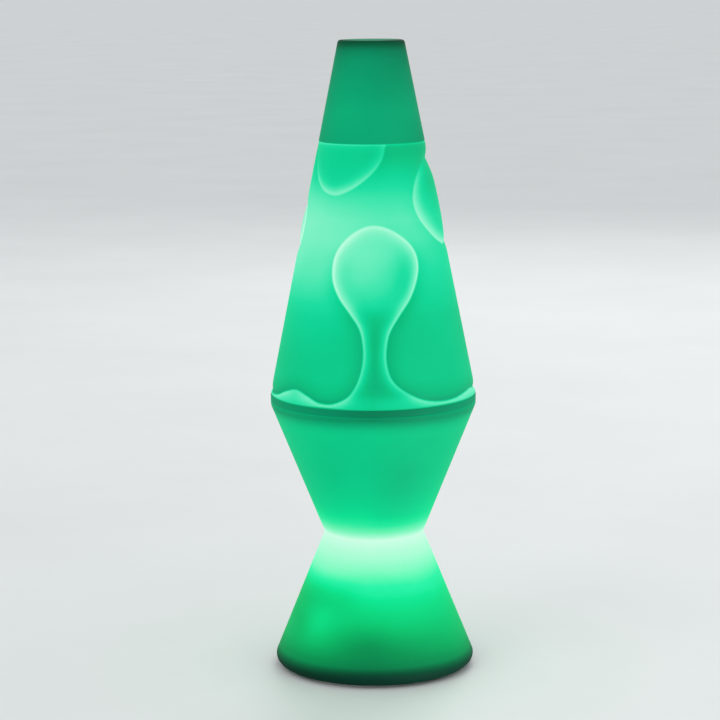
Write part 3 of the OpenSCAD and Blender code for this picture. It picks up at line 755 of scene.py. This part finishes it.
def snap_to_edges(theta, height, row_step):
    """Moves the grid points next to a wax edge onto it, so that the crease is clean. Changes its inputs."""
    closest = wax_distance(theta, height)
    on_edge = np.zeros(theta.shape, bool)
    pick = np.abs(closest) < 0.9 * row_step
    for _ in range(2):
        t, z = theta[pick], height[pick]
        radius = globe_r(z) / MM
        here = wax_distance(t, z)
        along = (wax_distance(t + SNAP_STEP / radius, z) - here) / SNAP_STEP
        upward = (wax_distance(t, z + SNAP_STEP * MM) - here) / SNAP_STEP
        size = along ** 2 + upward ** 2 + 1e-9
        column_step = 2 * math.pi * radius / GLOBE_COLUMNS
        reach = 0.51 * np.maximum(np.abs(along) * column_step, np.abs(upward) * row_step)
        move = (np.abs(here) < reach) | on_edge[pick]
        theta[pick] = t - np.where(move, here * along / size / radius, 0)
        height[pick] = z - np.where(move, here * upward / size * MM, 0)
        on_edge[pick] = move
    closest[pick] = wax_distance(theta[pick], height[pick])
    closest[on_edge] = 0.0
    return closest, on_edge


def split_along(faces, crease):
    """Cuts each four-sided face that a crease crosses from corner to corner along that diagonal."""
    out = []
    for a, b, c, d in faces:
        if crease[a] and crease[c] and not (crease[b] and crease[d]):
            out += [(a, b, c), (a, c, d)]
        elif crease[b] and crease[d] and not (crease[a] and crease[c]):
            out += [(a, b, d), (b, c, d)]
        else:
            out.append((a, b, c, d))
    return out


# ---------------- the other shells
CAP_BORE_R = 17.85 * MM
CAP_BORE_DEPTH = 5.8 * MM
CAP_EDGE = 1.2 * MM           # radius of the cap's rounded top edge
CAP_SIDE_DEG = 11             # where that edge starts on the cap's sloping side
CAP_DISH = 0.02 * MM          # depth of the dish in the cap's top
CAP_DISH_MM = 11.5            # its radius
CUP_SPIGOT_R = 16.9 * MM
CUP_SEAT_R, CUP_SEAT_DEPTH = 38.05 * MM, 3.65 * MM
FOOT_PLATE_R = 35.35 * MM
COLLAR_R, COLLAR_DEPTH = 17.05 * MM, 4.4 * MM


def build_cap():
    """A hollow cone with a rounded top edge, a slightly dished top and a bore for the globe's neck."""
    bore_top = SEAM_Z + CAP_BORE_DEPTH
    edge = arc(on(cap_r, TOP_Z - CAP_EDGE, CAP_EDGE), CAP_EDGE, CAP_SIDE_DEG, 90, 8)
    profile = near(CAP_BORE_R, SEAM_Z, (0, 0.25), (0.25, 0.02))
    profile += near(SEAM_R, SEAM_Z, (-0.35, 0.02), (-0.08, 0.12))
    profile += straight(on(cap_r, SEAM_Z + 0.4 * MM), edge[0], 60) + edge
    profile += [(r * MM, TOP_Z - CAP_DISH * (1 - r / CAP_DISH_MM)) for r in (11.2, 10.4, 9.5, 7, 4.5, 2, 0)]
    profile += near(0, TOP_Z - WALL, (0, 0), (5, 0))
    inner_low = on(cap_r, bore_top, WALL)
    profile += straight(on(cap_r, TOP_Z - WALL, WALL), inner_low, 10) + [inner_low, (CAP_BORE_R, bore_top)]
    theta, radius, height, _, faces = lathe(profile)
    glow = cap_glow(theta, height, radius)
    glow[height < SEAM_Z + 0.3 * MM] += 0.05
    finish_shell("cap", theta, radius, height, faces, glow=glow)


def build_cup():
    """The base's upper half: a spigot, the cone, the rim band, and a seat for the globe's spigot."""
    low, seat_z = cup_low.z, JOINT_Z - CUP_SEAT_DEPTH
    cone_top = on(cup_r, CUP_EDGE_Z - 1.2 * MM)
    profile = near(CUP_SPIGOT_R, low, (-0.4, 0), (0, 0.4)) + near(CUP_SPIGOT_R, WAIST_Z, (0, -0.02))
    profile += near(WAIST_R, WAIST_Z, (-0.3, 0.02))
    profile += straight(near(WAIST_R, WAIST_Z, (0.12, 0.25))[0], cone_top, 90)
    profile += rounded_corner(cone_top, (RIM_R, CUP_EDGE_Z), (RIM_R, CUP_EDGE_Z + 0.8 * MM))
    profile += near(RIM_R, JOINT_Z, (0, -0.3), (-0.25, -0.02))
    profile += near(CUP_SEAT_R, JOINT_Z, (0.2, -0.02), (0, -0.25))
    seat, inner_low = on(cup_r, seat_z, STEEP_WALL), on(cup_r, WAIST_Z + 3 * MM, STEEP_WALL)
    bore_r = CUP_SPIGOT_R - THIN_WALL
    profile += [(CUP_SEAT_R, seat_z)] + straight(seat, inner_low, 14) + [inner_low]
    profile += near(bore_r, WAIST_Z, (0, 1)) + near(bore_r, low, (0, 0.3), (0.3, 0))
    theta, radius, height, _, faces = lathe(profile)
    glow = cup_glow(theta, height)
    band = (radius > RIM_R - 0.4 * MM) & (height > CUP_EDGE_Z - 0.3 * MM)
    glow[band] = 0.51 + 0.13 * np.abs(np.sin(theta[band]))
    glow[band & (height > JOINT_Z - 0.5 * MM)] += 0.05
    finish_shell("base_cup", theta, radius, height, faces, glow=glow)


def build_foot():
    """The base's lower half: a rounded lip round the plate, the cone, and a collar for the cup's spigot."""
    collar_z, inner_z = WAIST_Z - COLLAR_DEPTH, LIP_Z + WALL
    lean = math.degrees(math.atan((FOOT_R - WAIST_R) / (WAIST_Z - FOOT_EDGE_Z)))
    round_centre = (FOOT_R - FOOT_ROUND / math.cos(math.radians(lean)), FOOT_EDGE_Z)
    edge = arc(round_centre, FOOT_ROUND, -90, lean, 16)
    waist_edge = near(WAIST_R, WAIST_Z, (0.1, -0.25), (-0.2, 0))
    profile = near(FOOT_PLATE_R, LIP_Z, (0, 0.25), (0.25, 0)) + edge
    profile += straight(edge[-1], waist_edge[0], 110)[1:] + waist_edge
    profile += near(COLLAR_R, WAIST_Z, (0.2, 0), (0, -0.2)) + [(COLLAR_R, collar_z)]
    inner_low = on(foot_r, inner_z + 2 * MM, STEEP_WALL)
    profile += straight(on(foot_r, collar_z - 2 * MM, STEEP_WALL), inner_low, 14) + [inner_low]
    profile += near(FOOT_PLATE_R, inner_z, (1.6, 0), (0.2, 0), (0, -0.2))
    theta, radius, height, _, faces = lathe(profile)
    finish_shell("base_foot", theta, radius, height, faces, glow=foot_glow(theta, height))


# ---------------- moulded, pressed and cut parts
CELLS = {"battery_1": 1, "battery_2": -1, "battery_3": 1}  # which way each cell's plus end points along Y
BEVEL_DEG = 34   # an edge sharper than this is rounded
FLAT_DEG = 0.8   # faces that meet at less than this are one flat face
# Radius in mm of the rounded edges of the parts that keep their CAD outline.
EDGES_MM = {
    "chassis": 0.3, "rubber_feet": 0.35, "chassis_screws": 0.12, "battery_door": 0.22,
    "power_slider": 0.18, "switch_lever": 0.12, "color_button": 0.22, "tact_plunger": 0.12,
    "led_board": 0.1, "control_board": 0.1, "board_screws": 0.1, "control_board_screws": 0.1,
    "side_leds": 0.16, "slide_switch": 0.16, "tact_switch": 0.16,
    "contact_positive": 0.1, "contact_negative": 0.1, "contact_link_front": 0.1, "contact_link_rear": 0.1,
    "center_led_leads": 0.08, "controller_chip": 0.09, "resistors": 0.1,
}
SOFTEST = {"rubber_feet", "color_button"}  # three steps round each edge, where the others have two
UNMERGED = {"battery_door"}                # keeps all its CAD faces
BARE_ENDS_MM = {"controller_chip": 0.95, "resistors": 0.35}  # length of bare metal at both ends along Y


def soften(node, edge_mm):
    """A piece with a node's outline, its sharp edges rounded as a mould or a press leaves them."""
    source = frame["nodes"][node]
    work = bmesh.new()
    work.from_mesh(source.data)
    bmesh.ops.remove_doubles(work, verts=work.verts, dist=1e-6)
    if node not in UNMERGED:
        bmesh.ops.dissolve_limit(work, angle_limit=math.radians(FLAT_DEG), verts=work.verts, edges=work.edges)
    plain = bpy.data.meshes.new(node + "_plain")
    work.to_mesh(plain)
    work.free()
    plain.shade_smooth()
    obj = add_object(node + "_piece", plain)
    bevel = obj.modifiers.new("edges", "BEVEL")
    bevel.width = edge_mm * MM
    bevel.segments = 3 if node in SOFTEST else 2
    bevel.limit_method = "ANGLE"
    bevel.angle_limit = math.radians(BEVEL_DEG)
    bake_modifiers(obj)
    close_up(obj)
    flats = obj.modifiers.new("flats", "WEIGHTED_NORMAL")
    flats.weight = 80
    bake_modifiers(obj)
    if node in BARE_ENDS_MM:
        low, high = (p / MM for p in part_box(node))
        y, bare = np.array([(v.co / MM).y for v in obj.data.vertices]), BARE_ENDS_MM[node]
        add_attribute(obj, "metal", (y < low.y + bare) | (y > high.y - bare))
    finish_piece(obj, node)


def bake_modifiers(obj):
    """Puts the result of an object's modifiers in its mesh, and removes them."""
    bpy.context.view_layer.update()
    view = bpy.context.evaluated_depsgraph_get()
    baked = bpy.data.meshes.new_from_object(obj.evaluated_get(view), depsgraph=view)
    obj.modifiers.clear()
    obj.data = baked


def turned(node, profile, columns, centre, along="z"):
    """A lathe-turned piece at centre, with the row and height of its points; along is its axis."""
    theta, radius, height, row, faces = lathe(profile, columns)
    across, out = radius * np.sin(theta), radius * np.cos(theta)
    axes = (across, out, height) if along == "z" else (across, height, -out)
    obj = make_mesh(node + "_piece", np.stack(axes, -1) + np.array(centre), faces)
    return obj, row, height


def swept(path, radius, sides):
    """The points and faces of a round tube along a path, its two ends closed by low cones."""
    path = np.array(path, float)
    heading = np.gradient(path, axis=0)
    heading /= np.linalg.norm(heading, axis=1)[:, None]
    side = np.cross(heading[0], (0.3, 0.5, 0.8))
    points = []
    for centre, ahead in zip(path, heading):
        side = side - ahead * np.dot(side, ahead)
        side /= np.linalg.norm(side)
        other = np.cross(ahead, side)
        for k in range(sides):
            turn = 2 * math.pi * k / sides
            points.append(centre + radius * (math.cos(turn) * side + math.sin(turn) * other))
    rings = len(path)
    faces = wrapped_faces(rings, sides)[:(rings - 1) * sides]
    for ring, inwards in ((0, 1), (rings - 1, -1)):
        points.append(path[ring] - heading[ring] * inwards * radius * 0.35)
        tip = len(points) - 1
        faces += [(ring * sides + k, ring * sides + (k + 1) % sides, tip)[::-inwards] for k in range(sides)]
    return points, faces


def build_cell(node, plus):
    """A dry cell: printed jacket shrunk over rounded shoulders, a nub and a flat end."""
    nub, shoulder, band_length = 0.9 * MM, 0.7 * MM, 12 * MM
    low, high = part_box(node)
    half, outer = (high.y - low.y) / 2, (high.x - low.x) / 2
    top = half - nub
    profile = near(0, half, (0, 0), (1.2, 0), (1.75, -0.12), (1.9, -0.4))
    profile += near(0, top, (1.95, 0.12), (2.2, 0.02), (3.4, 0), (3.7, -0.18), (4.0, -0.02))
    metal_top = len(profile)
    profile += arc((outer - shoulder, top - shoulder), shoulder, 80, 0, 6)
    profile += [(outer, h) for h in np.linspace(top - shoulder, -half + shoulder, 24)[1:]]
    profile += arc((outer - shoulder, -half + shoulder), shoulder, 0, -80, 6)[1:]
    metal_low = len(profile)
    profile += near(0, -half, (3.9, 0.02), (3.6, 0.16), (3.3, 0.16), (3.1, 0), (0, 0))
    obj, row, height = turned(node, [(r, plus * h) for r, h in profile], 96, (low + high) / 2, "y")
    metal = (row < metal_top) | (row >= metal_low)
    add_attribute(obj, "metal", metal)
    add_attribute(obj, "band", (height * plus > half - band_length) & ~metal)
    close_up(obj)
    finish_piece(obj, node)


def build_capacitor():
    """An electrolytic can: rubber bung, crimp, printed sleeve and a bare scored top."""
    low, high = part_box("capacitor")
    centre = ((low.x + high.x) / 2, (low.y + high.y) / 2, 0)
    outer = (high.x - low.x) / 2
    profile = [(0, low.z)] + near(outer, low.z, (-0.35, 0), (-0.1, 0.15), (0, 0.5), (0, 0.8),
                                  (-0.3, 1.05), (-0.3, 1.25), (0, 1.5))
    profile += near(outer, high.z, (0, -0.35), (-0.12, -0.08), (-0.4, 0))
    sleeve = len(profile)
    profile += near(outer, high.z, (-0.55, -0.12)) + near(0, high.z, (1.4, -0.12), (0.5, -0.16), (0, -0.12))
    obj, row, _ = turned("capacitor", profile, 48, centre)
    add_attribute(obj, "metal", row >= sleeve)
    x = np.array([v.co.x - centre[0] for v in obj.data.vertices])
    add_attribute(obj, "band", (x < -0.8 * outer) & (row < sleeve))
    close_up(obj)
    finish_piece(obj, "capacitor")


def build_center_led():
    """A domed LED: its collar, and a dome that glows brighter towards the tip."""
    low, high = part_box("center_led")
    collar = (high.x - low.x) / 2
    dome = collar - 0.5 * MM
    collar_top = low.z + 1.2 * MM
    profile = [(0, low.z)] + near(collar, low.z, (-0.2, 0), (0, 0.2))
    profile += near(collar, collar_top, (0, -0.2), (-0.2, 0)) + near(dome, collar_top, (0.1, 0), (0, 0.15))
    profile += straight((dome, collar_top + 0.3 * MM), (dome, high.z - dome), 6)
    profile += arc((0, high.z - dome), dome, 0, 90, 16)[:-1] + [(0, high.z)]
    obj, _, height = turned("center_led", profile, 64, (0, 0, 0))
    add_attribute(obj, "glow", (height - low.z) / (high.z - low.z))
    close_up(obj)
    finish_piece(obj, "center_led")


def build_springs():
    """Three conical springs, their end turns closed flat against the plate and the cell."""
    wire, turns, flat, rings = 0.25 * MM, 4.2, 0.8, 150
    wide_mm, narrow_mm = 3.6, 2.3
    points, faces = [], []
    for cell, plus in CELLS.items():
        low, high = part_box(cell)
        flat_end = low.y if plus > 0 else high.y
        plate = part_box("contact_link_front" if plus > 0 else "contact_link_rear")
        inside = max(p.y for p in plate) if plus > 0 else min(p.y for p in plate)
        start, end = inside + plus * wire, flat_end - plus * wire
        path = []
        for t in np.linspace(0, turns, rings):
            rise = step(t, flat, turns - flat)
            r = wide_mm * MM + (narrow_mm - wide_mm) * MM * np.clip((t - flat / 2) / (turns - flat), 0, 1)
            turn = 2 * math.pi * t
            path.append(((low.x + high.x) / 2 + r * math.cos(turn), start + (end - start) * rise,
                         (low.z + high.z) / 2 + r * math.sin(turn)))
        more_points, more_faces = swept(path, wire, 10)
        faces += [tuple(i + len(points) for i in face) for face in more_faces]
        points += more_points
    finish_piece(make_mesh("contact_springs_piece", points, faces), "contact_springs")


def raised_outline(name, loop, face_z, width, proud, body):
    """A low moulded ridge with sloping sides along a closed loop of (x, y) on a face that looks down."""
    loop = np.array(loop)
    ahead = np.roll(loop, -1, 0) - np.roll(loop, 1, 0)
    side = np.stack([ahead[:, 1], -ahead[:, 0]], -1) / np.linalg.norm(ahead, axis=1)[:, None]
    rows = [(-0.5, -0.3), (-0.42, 0.55), (-0.2, 1.0), (0.2, 1.0), (0.42, 0.55), (0.5, -0.3)]
    points = [(x, y, face_z - down * proud) for across, down in rows for x, y in loop + side * across * width]
    obj = make_mesh(name, points, wrapped_faces(len(rows), len(loop)))
    obj.data.materials.append(MATERIALS["chassis_plastic"])
    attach(obj, body)


def build_marks():
    """Moulded marks underneath, which no CAD node stands for: the door's arrow, and a ring for off."""
    plate_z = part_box("chassis")[0].z
    half_width, length = 2.6 * MM, 2.8 * MM
    tip_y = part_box("battery_door")[1].y - 4.6 * MM
    arrow = rounded_loop([(-half_width, tip_y - length), (half_width, tip_y - length), (0, tip_y)], 0.5 * MM)
    raised_outline("door_arrow", arrow, plate_z, 0.5 * MM, 0.18 * MM, "battery_door")
    ring_r, below_knob, travel = 0.9 * MM, 7.6 * MM, 2 * MM
    low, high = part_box("power_slider")
    ring_x, ring_y = (low.x + high.x) / 2, (low.y + high.y) / 2 - below_knob - travel
    ring = [(ring_x + ring_r * math.cos(a), ring_y + ring_r * math.sin(a))
            for a in np.linspace(0, 2 * math.pi, 32, endpoint=False)]
    raised_outline("off_ring", ring, plate_z, 0.4 * MM, 0.15 * MM, "lamp")


def build_inside():
    """The parts under and inside the shells."""
    for node, edge_mm in EDGES_MM.items():
        soften(node, edge_mm)
    for node, plus in CELLS.items():
        build_cell(node, plus)
    build_springs()
    build_capacitor()
    build_center_led()
    build_marks()


def dress_cad_nodes():
    """The insulated leads keep their CAD shape, and take the new materials."""
    for name, obj in frame["nodes"].items():
        for slot in obj.material_slots:
            slot.material = MATERIALS[SLOTS[name]]


# ---------------- stage, lights and camera
FLOOR_HALF = 40.0
LIGHTS_AIM = (0, 0, 0.12)
# Place, diameter and power in watts of each light.
LIGHTS = {"key": ((-0.9, -0.9, 1.1), 0.9, 3.0), "fill": ((1.1, -0.7, 0.7), 1.1, 1.3),
          "rim": ((0.3, 1.2, 0.9), 0.8, 4.0), "under": ((0.75, -0.55, -0.32), 0.35, 7.0)}
ROOM_COLOUR = (0.75, 0.78, 0.80, 1)
CAMERA_AT = (0, -926.8 * MM, 280.0 * MM)
CAMERA_DOWN, CAMERA_LEFT, CAMERA_ROLL = math.radians(9.571), math.radians(0.32), math.radians(-0.4)
LENS_MM, SENSOR_MM = 118.2, 36


def build_stage():
    """A pale floor that the view from below sees through."""
    corners = [(x * FLOOR_HALF, y * FLOOR_HALF, 0) for x, y in ((-1, -1), (1, -1), (1, 1), (-1, 1))]
    mesh = bpy.data.meshes.new("floor")
    mesh.from_pydata(corners, [], [(0, 1, 2, 3)])
    floor = add_object("floor", mesh)
    n = Nodes("pale_floor")
    pale = [(0.3, (0.76, 0.76, 0.75, 1)), (0.7, (0.80, 0.80, 0.79, 1))]
    n.set(Base_Color=n.ramp(n.noise(6.0, 5.0, 0.6), pale), Roughness=0.55)
    mix = n.add("ShaderNodeMixShader", {"Fac": n.add("ShaderNodeNewGeometry").outputs["Backfacing"],
                                        1: n.shader.outputs["BSDF"],
                                        2: n.add("ShaderNodeBsdfTransparent").outputs["BSDF"]})
    n.give(n.tree.nodes["Material Output"].inputs["Surface"], mix.outputs["Shader"])
    floor.data.materials.append(n.material)
    floor.visible_shadow = False  # the light from below reaches the underside


def build_lights():
    """Four soft round lights about the lamp, its underside included, in a pale room."""
    for name, (at, size, power) in LIGHTS.items():
        data = bpy.data.lights.new(name, "AREA")
        data.shape = "DISK"
        data.size = size
        data.energy = power
        light = add_object(name, data)
        light.location = at
        light.rotation_euler = (Vector(LIGHTS_AIM) - Vector(at)).to_track_quat("-Z", "Y").to_euler()
    world = bpy.data.worlds.new("studio")
    world.use_nodes = True
    world.node_tree.nodes["Background"].inputs["Color"].default_value = ROOM_COLOUR
    bpy.context.scene.world = world


def build_camera():
    """The camera stands in front of the lamp and looks slightly down at it."""
    data = bpy.data.cameras.new("camera")
    data.sensor_width = SENSOR_MM
    data.lens = LENS_MM
    data.clip_start = 0.01
    data.clip_end = 100
    camera = add_object("camera", data)
    camera.matrix_world = (Matrix.Translation(CAMERA_AT) @ Matrix.Rotation(CAMERA_LEFT, 4, "Z")
                           @ Matrix.Rotation(math.pi / 2 - CAMERA_DOWN, 4, "X")
                           @ Matrix.Rotation(CAMERA_ROLL, 4, "Z"))
    bpy.context.scene.camera = camera
    bpy.context.scene.view_settings.view_transform = "Standard"


build_camera()
build_lights()
build_stage()
dress_cad_nodes()
build_globe()
build_cap()
build_cup()
build_foot()
build_inside()
